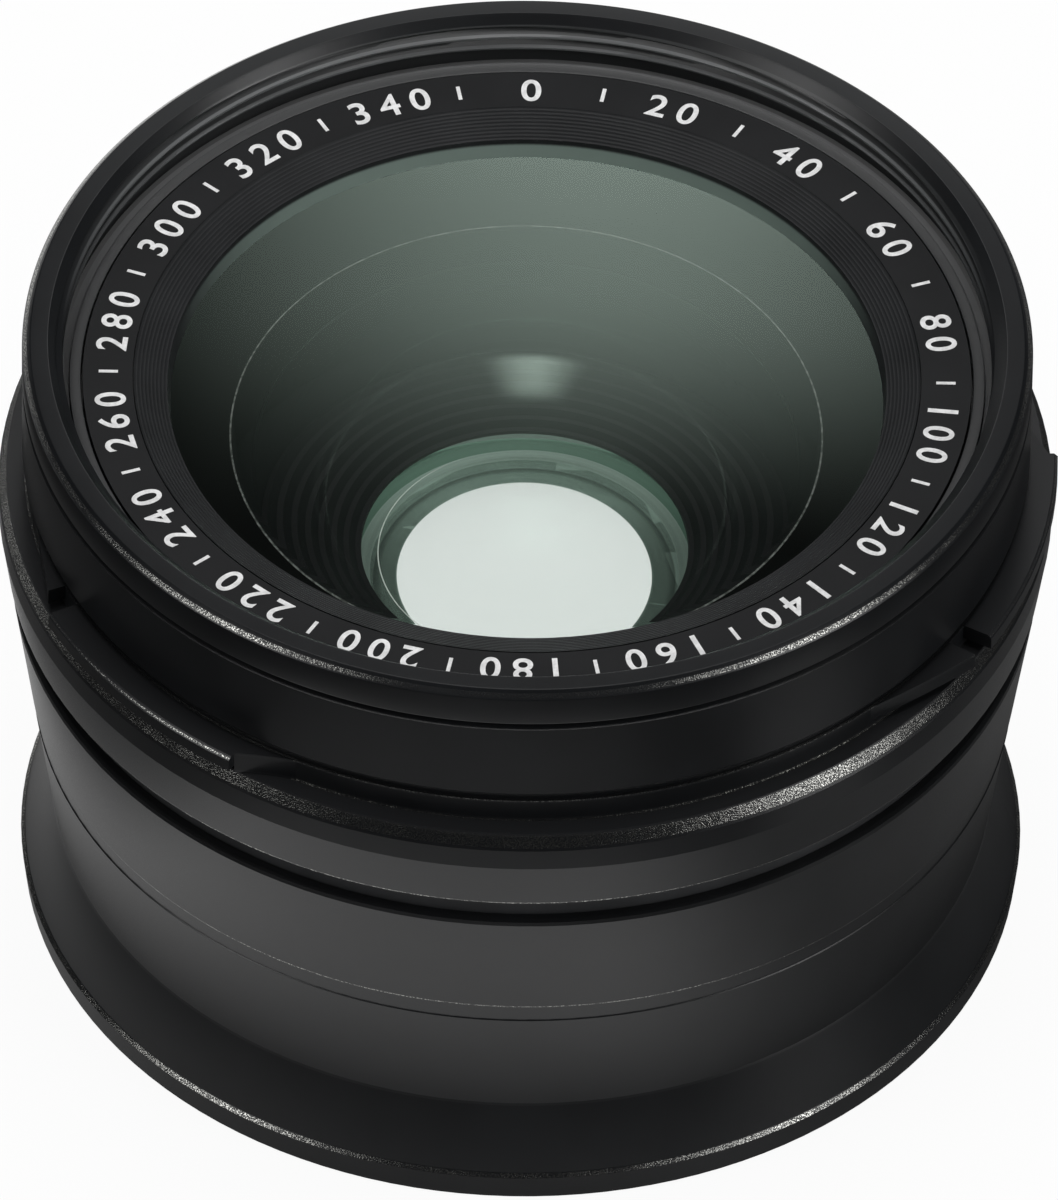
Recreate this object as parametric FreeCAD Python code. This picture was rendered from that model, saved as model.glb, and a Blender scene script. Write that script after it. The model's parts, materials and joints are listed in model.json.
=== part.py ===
import FreeCAD, Part
import math
import os

# Wide-angle conversion lens for the fixed lens of a compact camera.
# Millimetres. The origin is the centre of the rear face, +Z runs along the
# optical axis towards the front glass. Every turned piece is revolved about Z.
# Angles are in degrees, counted from +X towards +Y; the view in the reference
# picture looks from the -Y side.

# clearances
glideClearance = 0.05      # between pieces that slide or screw into each other
glassSeatGap = 0.01        # where a conical ring meets a curved glass
drillLead = 0.5            # how far a drilled hole starts outside its wall

# front filter ring with its thread; every radius outside follows the thread
filterThreadRadius = 24.5  # M49 x 0.75, full radius
threadDepth = 0.405
threadLeadWidth = 0.35
threadLeadDepth = 0.75
threadLength = 1.60
threadRelief = 0.65        # below the thread
rimWall = 1.7
rimBevelWidth = 0.42
rimBevelHeight = 0.40
filterFlangeWidth = 0.6
filterFlangeStep = 0.75    # from the thread's full radius in to the flange
filterFlangeRise = 0.35    # of the flange above the thread's relief
filterFlangeThickness = 1.10
filterRingFoot = 2.39      # depth of the parting groove below the front rim
partingGrooveDepth = 0.35
partingGrooveHeight = 0.30
filterSpigotLength = 2.85
spigotWall = 0.80

# front barrel sleeve
frontBarrelLength = 5.01
shoulderGap = 0.42
shoulderGrooveDepth = 0.40
frontBarrelRound = 0.28

# hood bayonet ring
neckWall = 1.40
neckHeight = 1.38
ledgeWidth = 1.0
ledgeBevelWidth = 0.42
ledgeBevelHeight = 0.87
bayonetWallHeight = 1.28
bandHeight = 3.00
bandTaperRatio = 0.139     # fall of the radius for each millimetre of height
bandBevel = 0.12
lugReach = 1.65            # how far a lug stands out from the neck
lugThickness = 0.90
lugBevel = 0.20
lugRoot = 0.6              # how deep the lugs reach into the neck, from its bore
lugSpanAngle = 29.6
stopReach = 1.15
stopSpanAngle = 6.5
rampHollow = 0.12          # how far a ramp's curve lies inside its chord
# for each lug: where it starts, how far the wing in front of it runs, and
# how far that wing's tip stands out from the neck
lugStartAngles = (207.4, 331.0, 87.4)
wingSpanAngles = (11.0, 14.0, 11.0)
wingReaches = (0.95, 1.60, 0.95)
wingGapAngle = 3.3

# shadow gap between the bayonet ring and the waist sleeve
shadowGapHeight = 1.51
collarWidth = 1.55         # of the barrel's collar that closes the gap inside
collarOverlap = 1.25

# waist sleeve and rear skirt; heights are counted from the rear face
sleeveLength = 7.17
sleeveTopRound = 0.30
sleeveFootHeight = 13.72
seamBandHeight = 1.10
seamStep = 0.05
skirtWaistHeight = 5.55
flangeWall = 2.88
flangeDraft = 0.16
flangeTopHeight = 1.62
flangeBevel = 0.22
footBevel = 0.15
skirtLedge = 0.45          # under the mount ring
skirtBoreLead = 0.5
skirtShoulderHeight = 5.95
skirtSpigotLength = 2.3

# lens barrel, the tube that carries everything
barrelWall = 0.9
barrelRearWall = 2.05
barrelRearStep = 0.7       # the rear skirt slides over this step
barrelStepDepth = 14.75    # seat of the lens cell, below the front rim
barrelTopGap = 0.43        # under the filter ring's flange
floorThickness = 2.0

# camera mount ring
mountRingHeight = 5.05
mountRingWall = 1.255      # leaves the core radius of M46 x 0.75
cameraThreadLead = 0.35
mountFlangeWidth = 2.795
mountFlangeThickness = 1.2
mountScrewRadius = 0.8
mountScrewHeadRadius = 1.35
mountScrewHeadDepth = 0.7
mountScrewLength = 3.0
mountScrewAngles = (30.0, 150.0, 270.0)
crossLength = 1.5
crossWidth = 0.3
crossDepth = 0.35

# grub screws that hold the skirt on the barrel
grubScrewRadius = 0.8
grubScrewLength = 1.5
grubScrewRise = 1.15       # above the foot of the waist sleeve
grubSocketRadius = 0.35
grubSocketDepth = 0.6
grubScrewAngles = (90.0, 210.0, 330.0)

# front glass, its seat, its retaining ring and the ring with the markings
nameRingWidth = 2.59
retainerConeWidth = 1.75
retainerConeHeight = 0.72
retainerEdgeRise = 0.04    # above the marked ring
retainerMouthWidth = 0.16
retainerMouthHeight = 1.18
frontGlassLand = 2.1       # of the glass under its retaining ring
frontGlassCurve = 95.0
frontGlassThickness = 2.4
frontGlassRearCurve = 26.0
frontGlassHollowStep = 3.6 # from the clear radius in to the hollow's edge
glassEdgeBevel = 0.3
sealThickness = 0.2
sealStep = 1.5
retainerGrooveCount = 5
retainerGrooveDepth = 0.07
retainerThreadWall = 0.85
retainerThreadLength = 1.6
retainerFlangeThickness = 0.75
nameRingThickness = 0.5

# inner lens cell
cellWall = 1.2
cellNeckDepth = 16.15
cellTubeWall = 1.4
cellTubeRecess = 0.6       # of the tube's end in the barrel's floor
cellFloorThickness = 1.5
cellFloorGap = 3.0         # above the barrel's floor
cellLipWidth = 0.7
cellLipThickness = 0.6
baffleWall = 2.8
baffleWallStep = 0.4       # from the glass's hollow out to the wall below it
baffleStepWidth = 0.3
baffleStepDepth = 13.75
baffleGrooveCount = 7
baffleGrooveDepth = 0.25

# inner glasses
innerGlassRadius = 11.2
doubletFrontCurve = 38.0
doubletFrontThickness = 2.6
doubletCementCurve = 200.0
doubletRearThickness = 0.9
doubletRearCurve = 70.0
rearAirGap = 0.3
rearGlassThickness = 1.9
rearGlassCurve = 60.0
spacerWidth = 0.9
rearRetainerWidth = 2.6
rearRetainerFlareWidth = 2.1

# magnet that tells the camera that the lens is fitted
magnetRadius = 1.5
magnetLength = 1.3
magnetCapThickness = 0.3
magnetAngle = 60.0

# depths below the front rim that follow from the heights above
threadFloorDepth = threadLeadDepth + threadLength + threadRelief
filterFlangeDepth = threadFloorDepth - filterFlangeRise
barrelTopDepth = filterFlangeDepth + filterFlangeThickness + barrelTopGap
frontBarrelFoot = filterRingFoot + frontBarrelLength
bayonetTopDepth = frontBarrelFoot + shoulderGap
ledgeDepth = bayonetTopDepth + neckHeight
bayonetWallFoot = ledgeDepth + ledgeBevelHeight + bayonetWallHeight
bandFootDepth = bayonetWallFoot + bandHeight
retainerEdgeDepth = filterFlangeDepth - glideClearance - retainerEdgeRise
retainerMouthDepth = retainerEdgeDepth + retainerConeHeight
glassOpeningDepth = retainerMouthDepth + retainerMouthHeight

# heights above the rear face
floorHeight = skirtShoulderHeight + mountRingHeight
cellTubeFoot = floorHeight + cellTubeRecess
cellFloorHeight = floorHeight + floorThickness + cellFloorGap
cellSeatHeight = cellFloorHeight + cellFloorThickness - cellLipThickness
totalHeight = sleeveFootHeight + sleeveLength + shadowGapHeight + bandFootDepth

# radii outside the filter thread and in the barrel
rimRadius = filterThreadRadius + rimWall
barrelRadius = filterThreadRadius + glideClearance
barrelBore = barrelRadius - barrelWall
barrelRearRadius = barrelRadius - barrelRearStep
barrelRearBore = barrelRearRadius - barrelRearWall
neckRadius = barrelRadius + glideClearance + neckWall
bayonetRadius = neckRadius + ledgeWidth + ledgeBevelWidth
gapFloorRadius = barrelRadius + collarWidth
skirtBore = barrelRearRadius - skirtLedge
flangeRadius = skirtBore + flangeWall
cameraThreadMinorRadius = barrelRearRadius - mountRingWall
mountFlangeInner = cameraThreadMinorRadius - mountFlangeWidth
mountScrewCircle = (mountFlangeInner + cameraThreadMinorRadius) / 2

# radii inside the filter thread
filterFlangeOuter = filterThreadRadius - filterFlangeStep
filterFlangeInner = filterFlangeOuter - filterFlangeWidth
retainerFlangeRadius = filterFlangeInner - 2 * glideClearance
nameRingInner = retainerFlangeRadius - nameRingWidth
retainerEdgeRadius = nameRingInner - glideClearance
retainerMouthRadius = retainerEdgeRadius - retainerConeWidth
glassClearRadius = retainerMouthRadius - retainerMouthWidth
frontGlassRadius = glassClearRadius + frontGlassLand
frontGlassRearAperture = glassClearRadius - frontGlassHollowStep
retainerThreadRadius = frontGlassRadius + retainerThreadWall
cellRadius = barrelBore - glideClearance
baffleWallRadius = frontGlassRearAperture + baffleWallStep
baffleRadius = baffleWallRadius + baffleWall
cellNeckRadius = baffleRadius + cellWall
cellBore = innerGlassRadius + 2 * glideClearance
cellTubeRadius = cellBore + cellTubeWall
cellLipRadius = innerGlassRadius - cellLipWidth
floorHole = cellTubeRadius + glideClearance
magnetCircle = (floorHole + barrelRearBore) / 2
spacerInner = innerGlassRadius - spacerWidth
rearRetainerInner = innerGlassRadius - rearRetainerWidth

origin = FreeCAD.Vector(0, 0, 0)
axisZ = FreeCAD.Vector(0, 0, 1)


def belowRim(depth):
    return totalHeight - depth


def sag(curve, radius):
    return curve - math.sqrt(curve * curve - radius * radius)


def polar(radius, angle, height):
    turn = math.radians(angle)
    return FreeCAD.Vector(radius * math.cos(turn), radius * math.sin(turn), height)


# a closed outline of (radius, height) points, turned about the axis
def turned(outline, start=0.0, span=360.0):
    points = [FreeCAD.Vector(radius, 0, height) for radius, height in outline]
    face = Part.Face(Part.makePolygon(points + points[:1]))
    solid = face.revolve(origin, axisZ, span)
    solid.rotate(origin, axisZ, start)
    return solid


# a lens surface as an arc from the axis to a radius; rise is where its edge
# lies against its middle, so a surface that bulges to the front has rise < 0
def surfaceEdge(middle, curve, radius, rise):
    half = radius / 2
    sign = 1 if rise > 0 else -1
    start = FreeCAD.Vector(0, 0, middle)
    between = FreeCAD.Vector(half, 0, middle + sign * sag(curve, half))
    end = FreeCAD.Vector(radius, 0, middle + sign * sag(curve, radius))
    return Part.Arc(start, between, end).toShape()


# a glass from its front arc, its rim points and its rear arc; an arc of None
# is a flat face
def glass(frontArc, rimPoints, rearArc, frontMiddle, rearMiddle):
    edges = []
    corners = [FreeCAD.Vector(radius, 0, height) for radius, height in rimPoints]
    if frontArc is None:
        corners.insert(0, FreeCAD.Vector(0, 0, frontMiddle))
    else:
        edges.append(frontArc)
    if rearArc is None:
        corners.append(FreeCAD.Vector(0, 0, rearMiddle))
    for first, second in zip(corners, corners[1:]):
        edges.append(Part.makeLine(first, second))
    if rearArc is not None:
        edges.append(rearArc)
    edges.append(Part.makeLine(FreeCAD.Vector(0, 0, rearMiddle), FreeCAD.Vector(0, 0, frontMiddle)))
    wire = Part.Wire(Part.__sortEdges__(edges))
    return Part.Face(wire).revolve(origin, axisZ, 360)


# a row of shallow V grooves cut into a sloping line from start to end
def groovedSlope(start, end, grooveCount, depth):
    outline = [start]
    stepR = (end[0] - start[0]) / (2 * grooveCount)
    stepZ = (end[1] - start[1]) / (2 * grooveCount)
    for index in range(1, 2 * grooveCount):
        sunk = depth if index % 2 else 0
        outline.append((start[0] + stepR * index, start[1] + stepZ * index - sunk))
    outline.append(end)
    return outline


# radius of the tapered waist at a height
def waistRadius(height):
    return bayonetRadius - bandTaperRatio * (belowRim(bayonetWallFoot) - height)


# front filter ring: rim, thread bore, inner flange and the spigot below
def makeFilterRing():
    top = totalHeight
    foot = belowRim(filterRingFoot)
    flangeTop = belowRim(filterFlangeDepth)
    reliefFloor = belowRim(threadFloorDepth)
    threadFoot = top - threadLeadDepth - threadLength
    spigotInner = barrelRadius + glideClearance
    spigotOuter = spigotInner + spigotWall
    outline = [
        (filterThreadRadius + threadLeadWidth, top),
        (rimRadius - rimBevelWidth, top),
        (rimRadius, top - rimBevelHeight),
        (rimRadius, foot + partingGrooveHeight),
        (rimRadius - partingGrooveDepth, foot),
        (spigotOuter, foot),
        (spigotOuter, foot - filterSpigotLength),
        (spigotInner, foot - filterSpigotLength),
        (spigotInner, flangeTop - filterFlangeThickness),
        (filterFlangeInner, flangeTop - filterFlangeThickness),
        (filterFlangeInner, flangeTop),
        (filterFlangeOuter, flangeTop),
        (filterFlangeOuter, reliefFloor),
        (filterThreadRadius, reliefFloor),
        (filterThreadRadius, threadFoot),
        (filterThreadRadius - threadDepth, threadFoot),
        (filterThreadRadius - threadDepth, top - threadLeadDepth),
    ]
    return turned(outline)


# plain sleeve between the filter ring and the bayonet ring
def makeFrontBarrel():
    top = belowRim(filterRingFoot)
    foot = belowRim(bayonetTopDepth)
    shoulder = belowRim(frontBarrelFoot)
    inner = barrelRadius + spigotWall + 2 * glideClearance
    groove = rimRadius - shoulderGrooveDepth
    outline = [
        (inner, top),
        (rimRadius - partingGrooveDepth, top),
        (rimRadius, top - partingGrooveHeight / 2),
        (rimRadius, shoulder + frontBarrelRound),
        (rimRadius - frontBarrelRound / 3, shoulder + frontBarrelRound / 3),
        (groove, shoulder),
        (groove, foot),
        (inner, foot),
    ]
    return turned(outline)


# a curved ramp on the neck, whose radius runs from startRadius at startAngle
# to endRadius at endAngle, from the height foot to the height top
def ramp(startAngle, startRadius, endAngle, endRadius, foot, top):
    root = barrelRadius + glideClearance + lugRoot
    middle = (startAngle + endAngle) / 2
    bulge = (startRadius + endRadius) / 2 - rampHollow
    innerArc = Part.Arc(polar(root, startAngle, foot), polar(root, middle, foot), polar(root, endAngle, foot))
    outerArc = Part.Arc(
        polar(startRadius, startAngle, foot), polar(bulge, middle, foot), polar(endRadius, endAngle, foot)
    )
    edges = [
        innerArc.toShape(),
        Part.makeLine(polar(root, endAngle, foot), polar(endRadius, endAngle, foot)),
        outerArc.toShape(),
        Part.makeLine(polar(startRadius, startAngle, foot), polar(root, startAngle, foot)),
    ]
    face = Part.Face(Part.Wire(Part.__sortEdges__(edges)))
    return face.extrude(FreeCAD.Vector(0, 0, top - foot))


# hood bayonet: three lugs with a wing in front and a stop behind, a ledge,
# and the broad wall that tapers into the waist
def makeBayonetRing():
    top = belowRim(bayonetTopDepth)
    ledge = belowRim(ledgeDepth)
    wallFoot = belowRim(bayonetWallFoot)
    foot = belowRim(bandFootDepth)
    inner = barrelRadius + glideClearance
    relief = gapFloorRadius + glideClearance
    reliefTop = foot + collarOverlap + glideClearance
    outline = [
        (inner, top),
        (neckRadius, top),
        (neckRadius, ledge),
        (neckRadius + ledgeWidth, ledge),
        (bayonetRadius, ledge - ledgeBevelHeight),
        (bayonetRadius, wallFoot),
        (waistRadius(foot + bandBevel), foot + bandBevel),
        (waistRadius(foot) - bandBevel, foot),
        (relief, foot),
        (relief, reliefTop),
        (inner, reliefTop),
    ]
    ring = turned(outline)
    lugFoot = top - lugThickness
    root = inner + lugRoot
    lugRadius = neckRadius + lugReach
    lugOutline = [
        (root, lugFoot),
        (lugRadius, lugFoot),
        (lugRadius, top - lugBevel),
        (lugRadius - lugBevel, top),
        (root, top),
    ]
    additions = []
    for start, wingSpan, wingReach in zip(lugStartAngles, wingSpanAngles, wingReaches):
        lugEnd = start + lugSpanAngle
        stopEnd = lugEnd + stopSpanAngle
        wingEnd = start - wingGapAngle
        additions.append(turned(lugOutline, start, lugSpanAngle))
        additions.append(ramp(lugEnd, neckRadius + stopReach, stopEnd, neckRadius, ledge, top))
        additions.append(ramp(wingEnd - wingSpan, neckRadius, wingEnd, neckRadius + wingReach, lugFoot, top))
    return ring.fuse(additions).removeSplitter()


# waist sleeve, a cone over the barrel
def makeWaistSleeve():
    foot = sleeveFootHeight
    top = foot + sleeveLength
    inner = barrelRadius + glideClearance
    relief = gapFloorRadius + glideClearance
    reliefFoot = top - collarOverlap - glideClearance
    outline = [
        (inner, foot),
        (waistRadius(foot), foot),
        (waistRadius(top - sleeveTopRound), top - sleeveTopRound),
        (waistRadius(top) - sleeveTopRound / 4, top - sleeveTopRound / 4),
        (waistRadius(top) - sleeveTopRound, top),
        (relief, top),
        (relief, reliefFoot),
        (inner, reliefFoot),
    ]
    return turned(outline)


# rear skirt: the lower waist, the flared flange and the bore over the camera lens
def makeRearSkirt():
    seam = sleeveFootHeight
    band = seam - seamBandHeight
    spigotTop = seam + skirtSpigotLength
    spigotInner = barrelRearRadius + glideClearance
    outline = [
        (spigotInner, spigotTop),
        (barrelRadius, spigotTop),
        (barrelRadius, seam),
        (waistRadius(seam) - seamStep, seam),
        (waistRadius(band) - seamStep, band),
        (waistRadius(band), band - seamStep),
        (waistRadius(skirtWaistHeight), skirtWaistHeight),
        (flangeRadius - flangeBevel, flangeTopHeight + flangeBevel),
        (flangeRadius, flangeTopHeight),
        (flangeRadius - flangeDraft, footBevel),
        (flangeRadius - flangeDraft - footBevel, 0),
        (skirtBore + skirtBoreLead, 0),
        (skirtBore, skirtBoreLead),
        (skirtBore, skirtShoulderHeight),
        (spigotInner, skirtShoulderHeight),
    ]
    skirt = turned(outline)
    for angle in grubScrewAngles:
        hole = Part.makeCylinder(
            grubScrewRadius + glideClearance,
            spigotTop - seam,
            polar(spigotInner - drillLead, angle, seam + grubScrewRise),
            polar(1, angle, 0),
        )
        skirt = skirt.cut(hole)
    return skirt


# lens barrel: the tube with a collar in the shadow gap and a floor at the rear
def makeLensBarrel():
    top = belowRim(barrelTopDepth)
    collarTop = belowRim(bandFootDepth) + collarOverlap
    collarFoot = sleeveFootHeight + sleeveLength - collarOverlap
    step = belowRim(barrelStepDepth)
    rearTop = sleeveFootHeight + skirtSpigotLength
    floorTop = floorHeight + floorThickness
    outline = [
        (barrelBore, top),
        (barrelRadius, top),
        (barrelRadius, collarTop),
        (gapFloorRadius, collarTop),
        (gapFloorRadius, collarFoot),
        (barrelRadius, collarFoot),
        (barrelRadius, rearTop),
        (barrelRearRadius, rearTop),
        (barrelRearRadius, floorHeight),
        (floorHole, floorHeight),
        (floorHole, floorTop),
        (barrelRearBore, floorTop),
        (barrelRearBore, step),
        (barrelBore, step),
    ]
    barrel = turned(outline)
    holes = []
    for angle in mountScrewAngles:
        depth = mountScrewLength - mountFlangeThickness + glideClearance
        holes.append(Part.makeCylinder(mountScrewRadius, depth, polar(mountScrewCircle, angle, floorHeight)))
    for angle in grubScrewAngles:
        inward = polar(-1, angle, 0)
        start = polar(barrelRearRadius + drillLead, angle, sleeveFootHeight + grubScrewRise)
        reach = grubScrewLength - barrelRearStep + drillLead + glideClearance
        holes.append(Part.makeCylinder(grubScrewRadius, reach, start, inward))
    pocketDepth = magnetLength + magnetCapThickness
    holes.append(
        Part.makeCylinder(magnetRadius + glideClearance, pocketDepth, polar(magnetCircle, magnetAngle, floorHeight))
    )
    return barrel.cut(holes)


# ring that screws over the camera's lens, held to the barrel floor
def makeMountRing():
    top = floorHeight
    flangeFoot = top - mountFlangeThickness
    foot = skirtShoulderHeight
    outer = barrelRearRadius
    outline = [
        (mountFlangeInner, top),
        (outer, top),
        (outer, foot),
        (cameraThreadMinorRadius + cameraThreadLead, foot),
        (cameraThreadMinorRadius, foot + cameraThreadLead),
        (cameraThreadMinorRadius, flangeFoot),
        (mountFlangeInner, flangeFoot),
    ]
    ring = turned(outline)
    holes = []
    for angle in mountScrewAngles:
        seat = polar(mountScrewCircle, angle, flangeFoot)
        holes.append(Part.makeCylinder(mountScrewRadius + glideClearance, mountFlangeThickness, seat))
        holes.append(
            Part.makeCone(mountScrewHeadRadius, mountScrewRadius + glideClearance, mountScrewHeadDepth, seat)
        )
    return ring.cut(holes)


# countersunk screws with a cross recess, heads to the rear
def makeMountScrews():
    seatHeight = floorHeight - mountFlangeThickness
    screws = []
    for angle in mountScrewAngles:
        seat = polar(mountScrewCircle, angle, seatHeight)
        head = Part.makeCone(mountScrewHeadRadius - glideClearance, mountScrewRadius, mountScrewHeadDepth, seat)
        shank = Part.makeCylinder(mountScrewRadius, mountScrewLength, seat)
        screw = head.fuse(shank)
        for turn in (0.0, 90.0):
            slotCorner = FreeCAD.Vector(-crossLength / 2, -crossWidth / 2, 0)
            slot = Part.makeBox(crossLength, crossWidth, crossDepth, slotCorner)
            slot.rotate(origin, axisZ, angle + turn)
            slot.translate(seat)
            screw = screw.cut(slot)
        screws.append(screw.removeSplitter())
    return Part.makeCompound(screws)


# headless screws under the waist sleeve
def makeSkirtScrews():
    height = sleeveFootHeight + grubScrewRise
    screws = []
    for angle in grubScrewAngles:
        inward = polar(-1, angle, 0)
        start = polar(barrelRadius, angle, height)
        screw = Part.makeCylinder(grubScrewRadius, grubScrewLength, start, inward)
        socket = Part.makeCylinder(grubSocketRadius, grubSocketDepth, start, inward)
        screws.append(screw.cut(socket))
    return Part.makeCompound(screws)


# heights of the front glass, from the opening that shows it
def frontGlassFront():
    return belowRim(glassOpeningDepth) + sag(frontGlassCurve, glassClearRadius)


def frontGlassSeat():
    rearMiddle = frontGlassFront() - frontGlassThickness
    return rearMiddle - sag(frontGlassRearCurve, frontGlassRearAperture)


# front meniscus, convex to the front and deeply hollow behind
def makeFrontElement():
    front = frontGlassFront()
    rear = front - frontGlassThickness
    seat = frontGlassSeat()
    faceRadius = frontGlassRadius - glassEdgeBevel
    frontEdge = front - sag(frontGlassCurve, faceRadius)
    rim = [
        (faceRadius, frontEdge),
        (frontGlassRadius, frontEdge - glassEdgeBevel),
        (frontGlassRadius, seat + glassEdgeBevel),
        (faceRadius, seat),
        (frontGlassRearAperture, seat),
    ]
    frontArc = surfaceEdge(front, frontGlassCurve, faceRadius, -1)
    rearArc = surfaceEdge(rear, frontGlassRearCurve, frontGlassRearAperture, -1)
    return glass(frontArc, rim, rearArc, front, rear)


# thin seal under the rim of the front glass
def makeFrontSeal():
    top = frontGlassSeat()
    foot = top - sealThickness
    inner = frontGlassRearAperture + sealStep
    outer = frontGlassRadius - glassEdgeBevel
    return turned([(inner, foot), (outer, foot), (outer, top), (inner, top)])


# retaining ring: grooved mouth, seat for the marked ring, thread below
def makeFrontRetainingRing():
    plateSeat = belowRim(filterFlangeDepth) - nameRingThickness + glideClearance
    flangeFoot = plateSeat - retainerFlangeThickness
    mouth = (retainerMouthRadius, belowRim(retainerMouthDepth))
    edge = (retainerEdgeRadius, belowRim(retainerEdgeDepth))
    threadRadius = retainerThreadRadius
    front = frontGlassFront()
    contact = front - sag(frontGlassCurve, glassClearRadius) + glideClearance
    pressRadius = frontGlassRadius - glassEdgeBevel
    press = front - sag(frontGlassCurve, pressRadius) + glideClearance
    outline = groovedSlope(mouth, edge, retainerGrooveCount, retainerGrooveDepth)
    outline += [
        (retainerEdgeRadius, plateSeat),
        (retainerFlangeRadius, plateSeat),
        (retainerFlangeRadius, flangeFoot),
        (threadRadius, flangeFoot),
        (threadRadius, press),
        (pressRadius, press),
        (glassClearRadius, contact),
    ]
    return turned(outline)


# flat ring between the thread and the glass, where the markings are
def makeNameRing():
    top = belowRim(filterFlangeDepth) + glideClearance
    foot = top - nameRingThickness
    outer = retainerFlangeRadius
    return turned([(nameRingInner, foot), (outer, foot), (outer, top), (nameRingInner, top)])


# cell that holds all glasses and slides into the barrel
def makeLensCell():
    plateSeat = belowRim(filterFlangeDepth) - nameRingThickness + glideClearance
    top = plateSeat - retainerFlangeThickness - glideClearance
    threadFoot = top - retainerThreadLength
    glassBore = frontGlassRadius + glideClearance
    seat = frontGlassSeat() - sealThickness
    lipTop = cellSeatHeight + cellLipThickness
    lipSeat = doubletHeights()[0] - sag(doubletFrontCurve, cellLipRadius) + glassSeatGap
    step = belowRim(barrelStepDepth)
    outline = [
        (retainerThreadRadius + glideClearance, top),
        (cellRadius, top),
        (cellRadius, step),
        (barrelRearBore - glideClearance, step),
        (cellNeckRadius, belowRim(cellNeckDepth)),
        (cellNeckRadius, cellFloorHeight),
        (cellTubeRadius, cellFloorHeight),
        (cellTubeRadius, cellTubeFoot),
        (cellBore, cellTubeFoot),
        (cellBore, cellSeatHeight + glassSeatGap),
        (cellLipRadius, lipSeat),
        (cellLipRadius, lipTop),
        (baffleRadius, lipTop),
        (baffleRadius, seat),
        (glassBore, seat),
        (glassBore, threadFoot),
        (retainerThreadRadius + glideClearance, threadFoot),
    ]
    return turned(outline)


# blackened cone with light-trap grooves behind the front glass
def makeBaffleCone():
    foot = cellSeatHeight + cellLipThickness
    top = frontGlassSeat() - sealThickness
    outer = baffleRadius - glideClearance
    stepHeight = belowRim(baffleStepDepth)
    mouth = (cellLipRadius, foot)
    step = (baffleWallRadius - baffleStepWidth, stepHeight)
    outline = groovedSlope(mouth, step, baffleGrooveCount, baffleGrooveDepth)
    outline += [
        (baffleWallRadius, stepHeight),
        (baffleWallRadius, top),
        (outer, top),
        (outer, foot),
    ]
    return turned(outline)


# middles of the three faces of the cemented pair
def doubletHeights():
    front = cellSeatHeight + sag(doubletFrontCurve, innerGlassRadius)
    cement = front - doubletFrontThickness
    rear = cement - doubletRearThickness
    return front, cement, rear


# front half of the cemented pair, thick in the middle
def makeDoubletFront():
    front, cement, rear = doubletHeights()
    rim = [
        (innerGlassRadius, cellSeatHeight),
        (innerGlassRadius, cement + sag(doubletCementCurve, innerGlassRadius)),
    ]
    frontArc = surfaceEdge(front, doubletFrontCurve, innerGlassRadius, -1)
    rearArc = surfaceEdge(cement, doubletCementCurve, innerGlassRadius, 1)
    return glass(frontArc, rim, rearArc, front, cement)


# rear half of the cemented pair, thin in the middle
def makeDoubletRear():
    front, cement, rear = doubletHeights()
    rim = [
        (innerGlassRadius, cement + sag(doubletCementCurve, innerGlassRadius)),
        (innerGlassRadius, rear - sag(doubletRearCurve, innerGlassRadius)),
    ]
    frontArc = surfaceEdge(cement, doubletCementCurve, innerGlassRadius, 1)
    rearArc = surfaceEdge(rear, doubletRearCurve, innerGlassRadius, -1)
    return glass(frontArc, rim, rearArc, cement, rear)


# middle of the front face of the rear glass
def rearGlassTop():
    return doubletHeights()[2] - rearAirGap


# spacer between the pair and the rear glass
def makeRearSpacer():
    above = doubletHeights()[2]
    below = rearGlassTop() + glassSeatGap
    outline = [
        (spacerInner, below - sag(rearGlassCurve, spacerInner)),
        (innerGlassRadius, below - sag(rearGlassCurve, innerGlassRadius)),
        (innerGlassRadius, above - sag(doubletRearCurve, innerGlassRadius)),
        (spacerInner, above - sag(doubletRearCurve, spacerInner)),
    ]
    return turned(outline)


# rear glass, bulging in front and flat to the camera
def makeRearElement():
    top = rearGlassTop()
    rear = top - rearGlassThickness
    rim = [
        (innerGlassRadius, top - sag(rearGlassCurve, innerGlassRadius)),
        (innerGlassRadius, rear),
    ]
    frontArc = surfaceEdge(top, rearGlassCurve, innerGlassRadius, -1)
    return glass(frontArc, rim, None, top, rear)


# ring screwed into the cell behind the rear glass; its sharp mouth is the stop
def makeRearRetainingRing():
    seat = rearGlassTop() - rearGlassThickness
    foot = cellTubeFoot
    outer = innerGlassRadius + glideClearance
    outline = [
        (rearRetainerInner, seat),
        (rearRetainerInner + rearRetainerFlareWidth, foot),
        (outer, foot),
        (outer, seat),
    ]
    return turned(outline)


def makeMagnet():
    seat = polar(magnetCircle, magnetAngle, floorHeight + magnetCapThickness)
    return Part.makeCylinder(magnetRadius, magnetLength, seat)


# resin cap over the magnet, flush with the barrel floor
def makeMagnetCap():
    seat = polar(magnetCircle, magnetAngle, floorHeight)
    return Part.makeCylinder(magnetRadius + glideClearance, magnetCapThickness, seat)


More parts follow.
